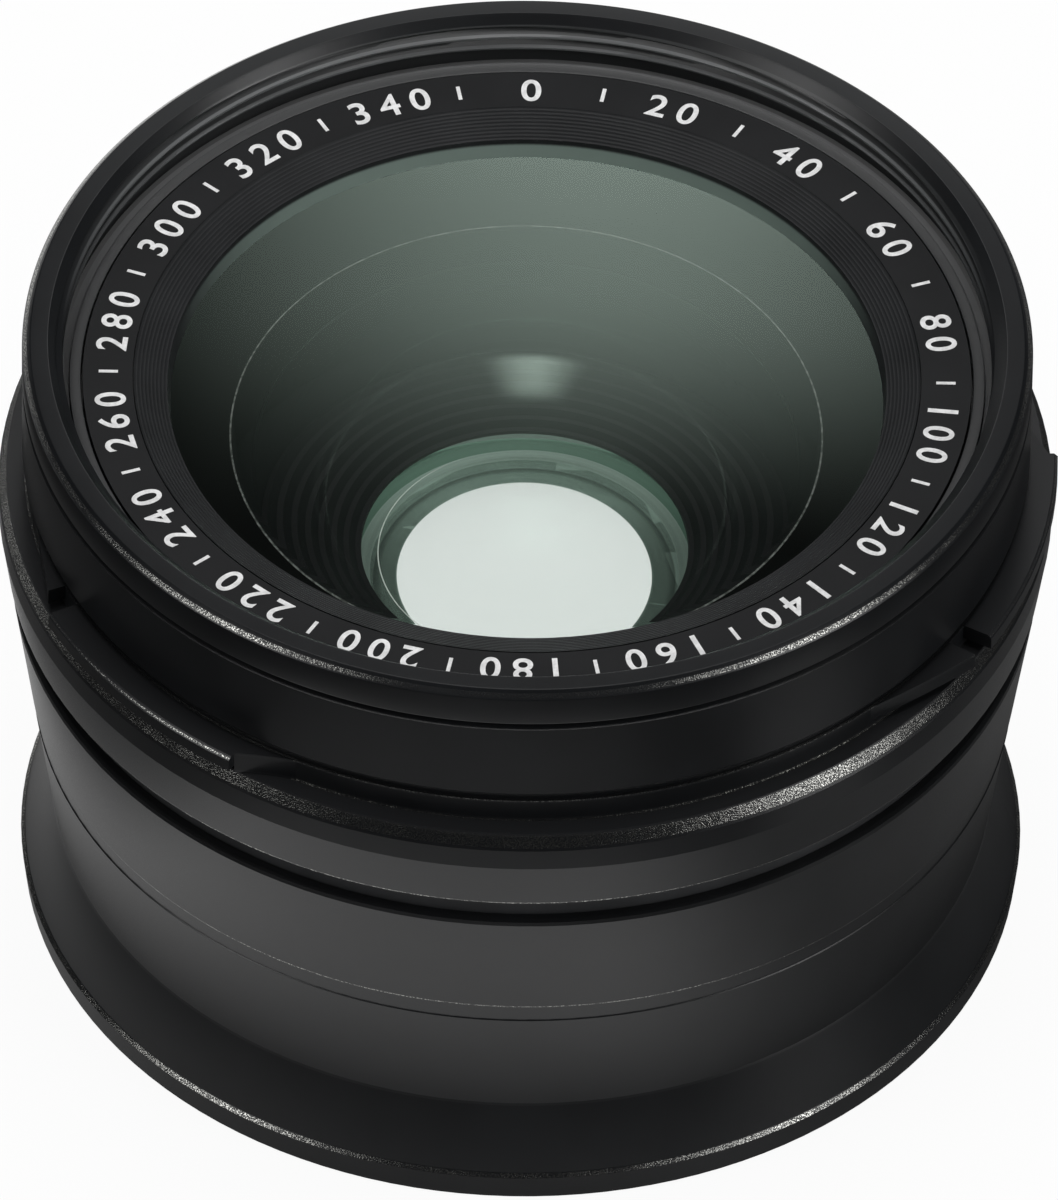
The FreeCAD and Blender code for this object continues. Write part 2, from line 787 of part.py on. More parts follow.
nodes = {
    "filter_ring": makeFilterRing,
    "front_barrel": makeFrontBarrel,
    "bayonet_ring": makeBayonetRing,
    "waist_sleeve": makeWaistSleeve,
    "rear_skirt": makeRearSkirt,
    "lens_barrel": makeLensBarrel,
    "mount_ring": makeMountRing,
    "mount_screws": makeMountScrews,
    "skirt_screws": makeSkirtScrews,
    "name_ring": makeNameRing,
    "front_retaining_ring": makeFrontRetainingRing,
    "front_element": makeFrontElement,
    "front_seal": makeFrontSeal,
    "lens_cell": makeLensCell,
    "baffle_cone": makeBaffleCone,
    "doublet_front": makeDoubletFront,
    "doublet_rear": makeDoubletRear,
    "rear_spacer": makeRearSpacer,
    "rear_element": makeRearElement,
    "rear_retaining_ring": makeRearRetainingRing,
    "magnet": makeMagnet,
    "magnet_cap": makeMagnetCap,
}

os.makedirs("parts", exist_ok=True)
for name, make in nodes.items():
    shape = make()
    shape.exportStep("parts/" + name + ".step")
    print(name, "valid", shape.isValid(), "solids", len(shape.Solids), "volume", round(shape.Volume, 1))
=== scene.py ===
import bpy
import math
import json
import numpy as np
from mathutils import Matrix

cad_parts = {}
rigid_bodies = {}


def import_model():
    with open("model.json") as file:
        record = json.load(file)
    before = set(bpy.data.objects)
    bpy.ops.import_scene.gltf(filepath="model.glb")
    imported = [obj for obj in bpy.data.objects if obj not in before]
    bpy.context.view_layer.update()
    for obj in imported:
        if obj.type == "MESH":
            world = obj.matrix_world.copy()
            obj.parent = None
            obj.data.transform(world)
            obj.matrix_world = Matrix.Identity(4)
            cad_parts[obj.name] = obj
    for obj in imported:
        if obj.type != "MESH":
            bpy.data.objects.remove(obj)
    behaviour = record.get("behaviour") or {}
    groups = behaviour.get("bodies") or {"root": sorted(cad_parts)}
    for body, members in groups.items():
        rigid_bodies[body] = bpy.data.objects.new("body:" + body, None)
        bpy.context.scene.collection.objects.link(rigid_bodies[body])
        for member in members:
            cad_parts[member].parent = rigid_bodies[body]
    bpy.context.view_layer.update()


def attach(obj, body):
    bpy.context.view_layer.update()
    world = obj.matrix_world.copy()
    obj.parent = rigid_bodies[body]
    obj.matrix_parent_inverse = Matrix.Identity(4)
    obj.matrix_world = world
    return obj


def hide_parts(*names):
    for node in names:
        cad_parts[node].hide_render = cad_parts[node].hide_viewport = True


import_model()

mm = 0.001
fullTurn = 2 * math.pi


# camera: a long lens far away, as the nearly parallel sides of the object ask;
# place, near and far in metres, turn in degrees, focal length and sensor in mm
cameraLook = dict(
    place=(0.0, -1.142588, 1.131229), turn=(45.743296, -0.594345, 0.565819),
    focal=916.34, sensor=36.0, near=0.05, far=50.0,
)


def makeCamera(look):
    data = bpy.data.cameras.new("camera")
    data.lens = look["focal"]
    data.sensor_width = look["sensor"]
    data.clip_start = look["near"]
    data.clip_end = look["far"]
    camera = bpy.data.objects.new("camera", data)
    camera.location = look["place"]
    camera.rotation_euler = [math.radians(a) for a in look["turn"]]
    bpy.context.scene.collection.objects.link(camera)
    bpy.context.scene.camera = camera


makeCamera(cameraLook)
print("camera set")

noiseSpan = (0.3, 0.7)  # most values of a noise lie between these
zoneSoft = 0.03  # width in mm of the soft border of a zone


# helper that adds nodes to one tree
class Nodes:
    def __init__(self, tree):
        self.tree = tree
        tree.nodes.clear()

    def add(self, kind, **settings):
        node = self.tree.nodes.new(kind)
        for name, value in settings.items():
            setattr(node, name, value)
        return node

    # links a socket, or sets a number or a tuple of numbers
    def put(self, value, target):
        if isinstance(value, (int, float, tuple)):
            target.default_value = value
        else:
            self.tree.links.new(value, target)

    # a shader node of one kind in one colour
    def dyed(self, kind, colour):
        node = self.add(kind)
        node.inputs["Color"].default_value = (*colour, 1.0)
        return node

    # one arithmetic node; each input is a socket or a number
    def math(self, operation, *inputs):
        node = self.add("ShaderNodeMath", operation=operation)
        for index, value in enumerate(inputs):
            self.put(value, node.inputs[index])
        return node.outputs[0]

    def unit(self, vector):
        node = self.add("ShaderNodeVectorMath", operation="NORMALIZE")
        self.put(vector, node.inputs[0])
        return node.outputs[0]

    def noise(self, scale, detail=2.0, roughness=0.5):
        node = self.add("ShaderNodeTexNoise")
        self.put(self.place, node.inputs["Vector"])
        node.inputs["Scale"].default_value = scale
        node.inputs["Detail"].default_value = detail
        node.inputs["Roughness"].default_value = roughness
        return node.outputs[0]

    # smooth change of a value from one range to another, held outside it
    def ranged(self, value, low, high, toLow, toHigh):
        node = self.add("ShaderNodeMapRange", interpolation_type="SMOOTHSTEP")
        names = ("Value", "From Min", "From Max", "To Min", "To Max")
        for name, number in zip(names, (value, low, high, toLow, toHigh)):
            self.put(number, node.inputs[name])
        return node.outputs[0]

    # 1 between low and high, falling to 0 over the width soft outside them
    def window(self, value, low, high, soft):
        rise = self.ranged(value, low - soft, low, 0.0, 1.0)
        fall = self.ranged(value, high, high + soft, 1.0, 0.0)
        return self.math("MULTIPLY", rise, fall)

    # 1 where the radius and the height lie in their ranges, in mm
    def zone(self, radii, heights):
        across = self.window(self.radius, *radii, zoneSoft)
        upright = self.window(self.height, *heights, zoneSoft)
        return self.math("MULTIPLY", across, upright)

    # a mix of two numbers by a factor
    def mixed(self, factor, first, second):
        return self.math("MULTIPLY_ADD", factor, self.math("SUBTRACT", second, first), first)

    # a mix of two colours by a factor
    def colours(self, factor, first, second):
        node = self.add("ShaderNodeMix", data_type="RGBA")
        self.put(factor, node.inputs[0])
        for socket, value in ((node.inputs[6], first), (node.inputs[7], second)):
            self.put((*value, 1.0) if isinstance(value, tuple) else value, socket)
        return node.outputs[2]

    # a mix of two shaders by a factor
    def shaders(self, factor, first, second):
        node = self.add("ShaderNodeMixShader")
        self.put(factor, node.inputs[0])
        self.put(first, node.inputs[1])
        self.put(second, node.inputs[2])
        return node.outputs[0]

    # mirroring of a coated face, duller where it is smeared
    def sheen(self, look, normal=None):
        node = self.dyed("ShaderNodeBsdfGlossy", look["tint"])
        smear = self.noise(look["smearScale"], *look["smearDetail"])
        rough = self.ranged(smear, *look["smearSpan"], look["clean"], look["smear"])
        self.put(rough, node.inputs["Roughness"])
        if normal is not None:
            self.put(normal, node.inputs["Normal"])
        return node.outputs[0]

    # 1 for a ray that comes from a mirroring and not from a refraction
    def mirrorRay(self):
        rays = self.add("ShaderNodeLightPath")
        glossy, through = rays.outputs["Is Glossy Ray"], rays.outputs["Is Transmission Ray"]
        return self.math("GREATER_THAN", glossy, through)

    # the shader, made clear for mirrored rays by a factor
    def letPass(self, shader, factor):
        clear = self.add("ShaderNodeBsdfTransparent")
        passed = self.math("MULTIPLY", self.mirrorRay(), factor)
        return self.shaders(passed, shader, clear.outputs[0])

    # ends the tree of a material
    def surface(self, shader):
        self.put(shader, self.add("ShaderNodeOutputMaterial").inputs[0])

    # keeps the object coordinates as place, x and y, in metres, and the
    # distance from the axis and the height, in mm
    def position(self):
        self.place = self.add("ShaderNodeTexCoord").outputs["Object"]
        split = self.add("ShaderNodeSeparateXYZ")
        self.put(self.place, split.inputs[0])
        self.x, self.y, z = split.outputs
        self.height = self.math("MULTIPLY", z, 1 / mm)
        flat = self.add("ShaderNodeVectorMath", operation="MULTIPLY")
        self.put(self.place, flat.inputs[0])
        flat.inputs[1].default_value = (1 / mm, 1 / mm, 0.0)
        length = self.add("ShaderNodeVectorMath", operation="LENGTH")
        self.put(flat.outputs[0], length.inputs[0])
        self.radius = length.outputs["Value"]


def newMaterial(name):
    material = bpy.data.materials.new(name)
    material.use_nodes = True
    n = Nodes(material.node_tree)
    n.position()
    return material, n


# satin anodised metal: fine blasted grain in bump and roughness and a slow
# cloudy change of tone; edges is a list of zones (radii, heights) of turned
# bevels, where the blasted grain is coarser and shows flecks of bare metal, and
# calm (x, x, level, level) thins them out near the middle; glossZones is a list
# of zones with a gloss of their own; paintedLights is a list of zones (radii,
# heights, span of y) with a paler tone painted in as highlights and reflections;
# passing, a radius, keeps what stands round the glass from hiding its sheen: up
# to it, and where a ray leaves the metal from inside, the metal is clear for
# mirrored rays
def anodised(name, look):
    material, n = newMaterial(name)
    grain = n.noise(look["grainScale"], *look["grainDetail"])
    cloud = n.noise(look["cloudScale"])
    deep = tuple(c * (1 - look["cloud"]) for c in look["colour"])
    pale = tuple(c * (1 + look["cloud"]) for c in look["colour"])
    colour = n.colours(n.ranged(cloud, *noiseSpan, 0.0, 1.0), deep, pale)
    smooth, dull = look["roughness"] - look["roughVary"], look["roughness"] + look["roughVary"]
    relief, strength, gloss = grain, look["bump"], look["specular"]
    for radii, heights, level in look["glossZones"]:
        gloss = n.math("MULTIPLY_ADD", n.zone(radii, heights), level - look["specular"], gloss)
    # paler tones painted in as highlights and reflections
    for radii, heights, depth, tone in look["paintedLights"]:
        zone = n.math("MULTIPLY", n.zone(radii, heights), n.ranged(n.y, *depth, 0.0, 1.0))
        colour = n.colours(zone, colour, tone)
    if look["edges"]:
        zones = [n.zone(*edge) for edge in look["edges"]]
        edge = zones[0]
        for zone in zones[1:]:
            edge = n.math("MAXIMUM", edge, zone)
        speck = n.noise(look["speckScale"], *look["speckDetail"])
        speck = n.ranged(speck, *look["speckSpan"], 0.0, 1.0)
        patch = n.ranged(n.noise(look["patchScale"]), *look["patchSpan"], look["patchLeast"], 1.0)
        worn = n.math("MULTIPLY", edge, n.math("MULTIPLY", speck, patch))
        if look["calm"]:
            worn = n.math("MULTIPLY", worn, n.ranged(n.math("ABSOLUTE", n.x), *look["calm"]))
        relief = n.math("MULTIPLY_ADD", worn, look["wornRelief"], grain)
        strength = n.math("MULTIPLY_ADD", edge, look["edgeBump"], look["bump"])
    bump = n.add("ShaderNodeBump")
    bump.inputs["Distance"].default_value = look["bumpDepth"] * mm
    n.put(relief, bump.inputs["Height"])
    n.put(strength, bump.inputs["Strength"])
    metal = n.add("ShaderNodeBsdfPrincipled")
    n.put(look["metallic"], metal.inputs["Metallic"])
    n.put(gloss, metal.inputs["Specular IOR Level"])
    n.put(colour, metal.inputs["Base Color"])
    n.put(n.ranged(grain, *noiseSpan, smooth, dull), metal.inputs["Roughness"])
    n.put(bump.outputs[0], metal.inputs["Normal"])
    shader = metal.outputs[0]
    if look["edges"]:
        flecks = n.dyed("ShaderNodeBsdfGlossy", look["wornColour"])
        flecks.inputs["Roughness"].default_value = look["wornRoughness"]
        n.put(bump.outputs[0], flecks.inputs["Normal"])
        shader = n.shaders(worn, shader, flecks.outputs[0])
    if look["passing"]:
        inner = n.math("LESS_THAN", n.radius, look["passing"])
        leaving = n.add("ShaderNodeNewGeometry").outputs["Backfacing"]
        shader = n.letPass(shader, n.math("MAXIMUM", inner, leaving))
    n.surface(shader)
    return material


# zones in mm, spans of x and y in metres
blackLook = dict(
    colour=(0.0068, 0.0074, 0.0083), metallic=0.0, specular=0.40, roughness=0.32, roughVary=0.04,
    grainScale=16000.0, grainDetail=(3.0, 0.6), cloudScale=260.0, cloud=0.12, bump=0.16,
    bumpDepth=0.02, glossZones=(), paintedLights=(), edges=(), calm=(), passing=0, edgeBump=0.20,
    speckScale=14000.0, speckDetail=(1.0, 0.6), speckSpan=(0.44, 0.62), patchScale=500.0,
    patchSpan=(0.25, 0.60), patchLeast=0.5, wornColour=(0.40, 0.40, 0.38), wornRelief=0.5,
    wornRoughness=0.20,
)
filterLook = dict(
    blackLook, passing=24.9, glossZones=(((24.9, 25.92), (36.5, 36.9), 0.12),),
    edges=(((25.95, 26.11), (36.38, 36.90)),), calm=(0.005, 0.0105, 0.30, 1.0),
    # paler tones painted on the far side as highlights: inside the thread, on its crests and on the
    # rim's top
    paintedLights=(
        ((22.9, 24.7), (33.6, 36.3), (0.000, 0.020), (0.030, 0.031, 0.032)),
        ((23.9, 24.22), (33.6, 36.3), (0.000, 0.020), (0.120, 0.123, 0.126)),
        ((24.9, 25.8), (36.6, 36.9), (0.005, 0.020), (0.020, 0.021, 0.022)),
    ),
)
# everyDepth makes a painted highlight full all round
everyDepth = (-1.0, -0.9)  # a span of y in front of the part, so a wash is full on all of it
bayonetLook = dict(
    blackLook, glossZones=(((20.0, 27.0), (27.5, 27.6), 0.25), ((20.0, 27.5), (28.85, 29.0), 0.20)),
    # paler bands painted all round as highlights, at the neck's foot and at its top
    paintedLights=(
        ((26.0, 27.1), (27.4, 27.7), everyDepth, (0.013, 0.0135, 0.0145)),
        ((25.8, 27.7), (28.8, 29.0), everyDepth, (0.013, 0.0135, 0.0145)),
    ),
    edges=(
        ((27.05, 27.36), (26.84, 27.45)), ((27.54, 27.60), (28.80, 28.88)),
        ((25.90, 26.03), (28.87, 28.95)), ((25.98, 26.06), (27.54, 27.60)),
        ((26.95, 27.06), (22.51, 22.57)),
    ),
)
waistLook = dict(
    blackLook, colour=(0.0080, 0.0085, 0.0093), edges=(((25.7, 25.9), (13.76, 13.80)),),
)
skirtLook = dict(
    blackLook, edges=(((26.10, 26.27), (1.64, 1.84)),),
    glossZones=(((24.6, 26.3), (1.8, 5.4), 0.25),),
)
barrelLook = dict(blackLook, colour=(0.034, 0.035, 0.037), specular=0.3, roughness=0.45)
cellLook = dict(blackLook, colour=(0.008, 0.0085, 0.0088), specular=0.2, roughness=0.5)
baffleLook = dict(blackLook, colour=(0.006, 0.0065, 0.0070), specular=0.12, roughness=0.6)
nameLook = dict(
    blackLook, passing=30, colour=(0.0080, 0.0084, 0.0092), specular=0.12, roughness=0.5,
    bump=0.10,
)
retainerLook = dict(
    blackLook, passing=30, colour=(0.017, 0.0176, 0.0186), specular=0.08, roughness=0.36,
    # painted reflection: the far side of the mouth's wall takes the pale green of the glass's sheen
    paintedLights=(((18.4, 18.6), (32.3, 33.42), (0.003, 0.018), (0.20, 0.245, 0.225)),),
)
screwLook = dict(blackLook, colour=(0.02, 0.02, 0.021), metallic=0.7, roughness=0.35)
magnetLook = dict(blackLook, colour=(0.45, 0.45, 0.46), metallic=1.0, roughness=0.3)
sealLook = dict(
    blackLook, colour=(0.012, 0.012, 0.012), specular=0.3, roughness=0.7, bump=0.3,
)
capLook = dict(blackLook, colour=(0.01, 0.01, 0.011), specular=0.5, roughness=0.12, bump=0.03)


# polished glass with a green coating and faint smears; its sheen takes a
# flatter normal in front, as on a flatter coated face; where the hollow's rim
# ends, a narrow ground chamfer, and black ink on the hidden faces beyond it;
# light for the inside passes straight through
def coatedGlass(name, look):
    material, n = newMaterial(name)
    geometry = n.add("ShaderNodeNewGeometry")
    through = n.dyed("ShaderNodeBsdfRefraction", look["colour"])
    through.inputs["IOR"].default_value = look["ior"]
    through.inputs["Roughness"].default_value = 0.0
    flatter = n.add("ShaderNodeVectorMath", operation="MULTIPLY_ADD")
    n.put(geometry.outputs["Normal"], flatter.inputs[0])
    flatter.inputs[1].default_value = (1 - look["flat"],) * 3
    flatter.inputs[2].default_value = (0, 0, look["flat"])
    front, back = n.sheen(look, n.unit(flatter.outputs[0])), n.sheen(look)
    sheen = n.shaders(geometry.outputs["Backfacing"], front, back)
    facing = n.add("ShaderNodeFresnel")
    facing.inputs["IOR"].default_value = look["ior"]
    coat = n.ranged(geometry.outputs["Backfacing"], 0.0, 1.0, look["coat"], look["innerCoat"])
    coat = n.math("MULTIPLY", facing.outputs[0], coat)
    polished = n.shaders(coat, through.outputs[0], sheen)
    rays = n.add("ShaderNodeLightPath")
    clear = n.dyed("ShaderNodeBsdfTransparent", look["colour"])
    polished = n.shaders(rays.outputs["Is Shadow Ray"], polished, clear.outputs[0])
    rim, soft = look["rim"], look["soft"]
    rear = n.ranged(n.height, *look["rearHeights"], 1.0, 0.0)
    ink = n.dyed("ShaderNodeBsdfDiffuse", look["ink"])
    inked = n.math("MULTIPLY", rear, n.ranged(n.radius, rim, rim + soft, 0.0, 1.0))
    shader = n.shaders(inked, polished, ink.outputs[0])
    ground = n.add("ShaderNodeBsdfDiffuse")
    dust = n.ranged(n.noise(look["dustScale"], *look["dustDetail"]), *look["dustSpan"], 0.0, 1.0)
    n.put(n.colours(dust, look["groundDeep"], look["groundPale"]), ground.inputs["Color"])
    chamfer = n.math("MULTIPLY", rear, n.window(n.radius, rim - look["chamfer"], rim, soft))
    n.surface(n.shaders(chamfer, shader, ground.outputs[0]))
    return material


# an inner glass that lets light straight through and keeps only its coating's
# reflection. The faces are round caps, so the normal that the coating takes is
# (x, y, curve) made unit, on the side of the face that is looked at. bends holds
# one over the curve, in metres, of the upper and of the lower face. line is the
# radius of a painted highlight, a fine pale line on the lower face, bright on the left
def thinGlass(name, look):
    material, n = newMaterial(name)
    geometry = n.add("ShaderNodeNewGeometry")
    below = geometry.outputs["Backfacing"]
    side = n.add("ShaderNodeSeparateXYZ")
    n.put(geometry.outputs["Normal"], side.inputs[0])
    upward = n.math("SIGN", side.outputs[2])
    bend = n.math("MULTIPLY", n.mixed(below, *look["bends"]), upward)
    leaning = n.add("ShaderNodeCombineXYZ")
    n.put(n.math("MULTIPLY", n.x, bend), leaning.inputs[0])
    n.put(n.math("MULTIPLY", n.y, bend), leaning.inputs[1])
    n.put(upward, leaning.inputs[2])
    normal = n.unit(leaning.outputs[0])
    clear = n.dyed("ShaderNodeBsdfTransparent", look["colour"])
    facing = n.add("ShaderNodeFresnel")
    facing.inputs["IOR"].default_value = look["ior"]
    n.put(normal, facing.inputs["Normal"])
    shader = n.shaders(facing.outputs[0], clear.outputs[0], n.sheen(look, normal))
    # the painted highlight line
    if look["line"]:
        pale = n.dyed("ShaderNodeBsdfDiffuse", look["highlightLineColour"])
        ring = n.window(n.radius, look["line"], look["line"] + look["lineWidth"], look["lineSoft"])
        ring = n.math("MULTIPLY", ring, n.ranged(n.x, *look["lineSpan"], look["linePaint"], 0.0))
        ring = n.math("MULTIPLY", ring, below)
        shader = n.shaders(ring, shader, pale.outputs[0])
    n.surface(shader)
    return material


# matt black ledge and wall between the inner glasses, with a painted green glow:
# emission that stands for the light scattered there by the coated faces, strongest
# round the stop and on the far side, weaker upwards and to the right. ledge goes by
# radius, heights by height, across by x and behind by y, each as (from, to, level, level)
def seenThroughCoat(name, look):
    material, n = newMaterial(name)
    rings = n.add("ShaderNodeTexWave", wave_type="RINGS", rings_direction="Z")
    n.put(n.place, rings.inputs["Vector"])
    rings.inputs["Scale"].default_value = look["ringScale"]
    ledge = n.ranged(n.radius, *look["ledge"])
    wall = n.ranged(n.height, *look["heights"])
    onWall = n.ranged(n.radius, look["wall"] - look["wallSoft"], look["wall"], 0.0, 1.0)
    level = n.mixed(onWall, ledge, wall)
    for factor in (
        n.ranged(n.x, *look["across"]),
        n.ranged(rings.outputs["Fac"], 0.0, 1.0, look["ringLeast"], 1.0),
        n.ranged(n.height, look["foot"] - look["footSoft"], look["foot"], 0.0, 1.0),
    ):
        level = n.math("MULTIPLY", level, factor)
    # the painted glow: emission in the green tone, stronger on the far side
    shader = n.add("ShaderNodeBsdfPrincipled")
    n.put(n.colours(level, look["deep"], look["pale"]), shader.inputs["Emission Color"])
    n.put(n.ranged(n.y, *look["behind"]), shader.inputs["Emission Strength"])
    shader.inputs["Base Color"].default_value = (*look["deep"], 1.0)
    shader.inputs["Roughness"].default_value = look["roughness"]
    shader.inputs["Specular IOR Level"].default_value = look["specular"]
    n.surface(shader.outputs[0])
    return material


frontGlassLook = dict(
    colour=(0.985, 0.995, 0.988), tint=(0.80, 1.0, 0.88), ior=1.61, coat=1.0, innerCoat=1.3,
    flat=0.5, rim=14.93, chamfer=0.08, soft=0.01, rearHeights=(31.7, 31.8), smearScale=300.0,
    smearDetail=(3.0, 0.6), smearSpan=(0.35, 0.75), clean=0.0, smear=0.02,
    ink=(0.002, 0.002, 0.002), dustScale=3000.0, dustDetail=(2.0, 0.6), dustSpan=(0.35, 0.65),
    groundDeep=(0.05, 0.055, 0.05), groundPale=(0.16, 0.17, 0.16),
)
# the bends are those of the pair's rear half, and the rear glass shares them
innerGlassLook = dict(
    colour=(0.985, 0.995, 0.99), tint=(0.42, 0.56, 0.49), ior=1.30, smearScale=300.0,
    smearDetail=(3.0, 0.6), smearSpan=(0.35, 0.75), clean=0.02, smear=0.06, bends=(-5.0, 14.3),
    line=0,
)
# the doublet carries the painted highlight line
doubletLook = dict(
    innerGlassLook, bends=(26.3, -5.0), line=9.5, lineWidth=0.05, lineSoft=0.02, linePaint=0.8,
    lineSpan=(-0.009, -0.003), highlightLineColour=(0.8, 0.84, 0.8),
)
haloLook = dict(
    ledge=(9.4, 10.3, 1.0, 0.3), heights=(13.4, 15.8, 0.85, 0.2), wall=10.25, wallSoft=0.1,
    foot=12.87, footSoft=0.07, across=(-0.009, 0.009, 1.0, 0.8), behind=(0.0, 0.009, 1.0, 2.1),
    ringScale=600.0, ringLeast=0.9, deep=(0.006, 0.008, 0.007), pale=(0.14, 0.185, 0.16),
    roughness=0.6, specular=0.1,
)

looks = dict(
    filter_ring=anodised("filterRingBlack", filterLook),
    front_barrel=anodised("frontBarrelBlack", blackLook),
    bayonet_ring=anodised("bayonetBlack", bayonetLook),
    waist_sleeve=anodised("waistSatin", waistLook),
    rear_skirt=anodised("skirtSatin", skirtLook),
    lens_barrel=anodised("barrelBlack", barrelLook),
    mount_ring=anodised("mountBlack", barrelLook),
    mount_screws=anodised("screwBlack", screwLook),
    skirt_screws=anodised("grubScrewBlack", screwLook),
    name_ring=anodised("nameRingBlack", nameLook),
    front_retaining_ring=anodised("retainerGrey", retainerLook),
    front_element=coatedGlass("frontGlass", frontGlassLook),
    front_seal=anodised("sealRubber", sealLook),
    lens_cell=anodised("cellBlack", cellLook),
    baffle_cone=anodised("baffleBlack", baffleLook),
    doublet_front=thinGlass("doubletGlass", doubletLook),
    doublet_rear=thinGlass("doubletRearGlass", innerGlassLook),
    # the spacer and the rear retaining ring carry the painted green glow
    rear_spacer=seenThroughCoat("spacerPaintedGlow", haloLook),
    rear_element=thinGlass("rearGlass", innerGlassLook),
    rear_retaining_ring=seenThroughCoat("rearRetainerPaintedGlow", haloLook),
    magnet=anodised("magnetMetal", magnetLook),
    magnet_cap=anodised("capResin", capLook),
)
for thing in bpy.data.objects:
    if thing.type == "MESH" and thing.name in looks:
        thing.data.materials.clear()
        thing.data.materials.append(looks[thing.name])
print("materials on", len(looks), "nodes")


# rounds the corners of an open outline: each corner becomes the short quadratic
# curve between the points that lie size before and size behind it, or a share
# of the side where the side is short
def rounded(outline, size, steps=3, share=0.4):
    corner = np.array(outline, float)
    before, behind = np.vstack([corner[:1], corner[:-1]]), np.vstack([corner[1:], corner[-1:]])
    ends = []
    for other in (before, behind):
        step = other - corner
        length = np.maximum(np.linalg.norm(step, axis=1), 1e-9)
        ends.append(corner + step * (np.minimum(size, share * length) / length)[:, None])
    t = np.linspace(0, 1, steps + 1)[None, :, None]
    first, last = ends[0][:, None], ends[1][:, None]
    curve = (1 - t) ** 2 * first + 2 * t * (1 - t) * corner[:, None] + t * t * last
    flat = curve.reshape(-1, 2)
    keep = np.ones(len(flat), bool)
    keep[1:] = np.linalg.norm(np.diff(flat, axis=0), axis=1) > 1e-7
    return flat[keep]


# a surface turned about the axis. Point (row, column) lies at the angle
# column / columns of a turn, at the row's radius and height. The rows run
# counter-clockwise in the plane of radius and height. closed joins the last row
# to the first; else the first and last rows are single points on the axis.
# Where two faces meet at more than sharp degrees, the edge isn't smoothed
def lathe(name, radii, heights, columns, closed=True, sharp=32):
    angle = np.arange(columns) * fullTurn / columns
    rows = len(heights)
    r = np.broadcast_to(radii if radii.ndim == 2 else radii[:, None], (rows, columns)) * mm
    z = np.broadcast_to(heights[:, None], (rows, columns)) * mm
    points = np.stack([r * np.cos(angle), r * np.sin(angle), z], -1)
    column = np.arange(columns)
    after = (column + 1) % columns
    row = np.arange(rows if closed else rows - 3)[:, None]
    here, above = row * columns, (row + 1) % rows * columns
    quads = np.stack([here + column, here + after, above + after, above + column], -1)
    faces = quads.reshape(-1, 4).tolist()
    if closed:
        points = points.reshape(-1, 3)
    else:
        lastRow = (rows - 3) * columns
        first, last = (rows - 2) * columns, (rows - 2) * columns + 1
        faces += np.stack([np.full(columns, first), after, column], -1).tolist()
        faces += np.stack([np.full(columns, last), lastRow + column, lastRow + after], -1).tolist()
        points = np.vstack([points[1:-1].reshape(-1, 3), points[0, :1], points[-1, :1]])
    mesh = bpy.data.meshes.new(name)
    mesh.from_pydata(points.tolist(), [], faces)
    mesh.polygons.foreach_set("use_smooth", np.ones(len(faces), bool))
    mesh.set_sharp_from_angle(angle=math.radians(sharp))
    mesh.update()
    piece = bpy.data.objects.new(name, mesh)
    bpy.context.scene.collection.objects.link(piece)
    return piece


def finishPiece(piece, material, node=None):
    piece.data.materials.append(material)
    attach(piece, "root")
    if node:
        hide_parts(node)


# heights and radii in mm, as in the CAD; the thread's crest and flank are parts
# of half a pitch
filterRing = dict(
    body=(
        (24.50, 33.75), (23.75, 33.75), (23.75, 34.10), (23.15, 34.10), (23.15, 33.00),
        (24.60, 33.00), (24.60, 31.51), (25.40, 31.51), (25.40, 34.36), (25.85, 34.36),
        (26.20, 34.66), (26.20, 36.35), (25.78, 36.75), (24.85, 36.75),
    ),
    fullRadius=24.5, depth=0.405, pitch=0.75, crestAtZero=35.4725, crest=0.18, flank=0.66,
    top=36.70, foot=33.82, leadFoot=36.0, runOut=(34.42, 34.72), round=0.05, rows=46,
    columns=480,
)


# filter ring with its helical thread. The thread's radius runs between the
# full radius and the full radius less its depth with the distance from the
# helix line, which climbs one pitch a turn. It fades out over the heights of
# runOut, and above leadFoot the bore opens by one in one
def makeFilterRing(look):
    body = rounded(look["body"], look["round"])
    angle = np.arange(look["columns"]) * fullTurn / look["columns"]
    height = np.linspace(look["top"], look["foot"], look["rows"])
    phase = (height[:, None] - look["crestAtZero"]) / look["pitch"] - angle / fullTurn
    off = np.abs((phase + 0.5) % 1.0 - 0.5) * 2
    crest = 1 - np.clip((off - look["crest"]) / look["flank"], 0, 1)
    low, high = look["runOut"]
    fade = np.clip((height - low) / (high - low), 0, 1)[:, None]
    radius = look["fullRadius"] - look["depth"] * crest * fade
    lead = look["fullRadius"] - look["depth"] + height - look["leadFoot"]
    radius = np.maximum(radius, lead[:, None])
    radii = np.vstack([np.repeat(body[:, :1], look["columns"], 1), radius])
    heights = np.concatenate([body[:, 1], height])
    return lathe("filter_ring_threaded", radii, heights, look["columns"])


filterPiece = makeFilterRing(filterRing)
finishPiece(filterPiece, looks["filter_ring"], "filter_ring")
print("filter ring made")

retainer = dict(
    mouth=(18.66, 33.47), edge=(20.41, 34.19), grooves=9, depth=0.035,
    body=(
        (20.41, 33.65), (23.05, 33.65), (23.05, 32.90), (21.45, 32.90), (21.45, 31.97),
        (20.30, 31.97), (18.50, 32.34),
    ),
    round=0.04, slopeRows=91, columns=384,
)


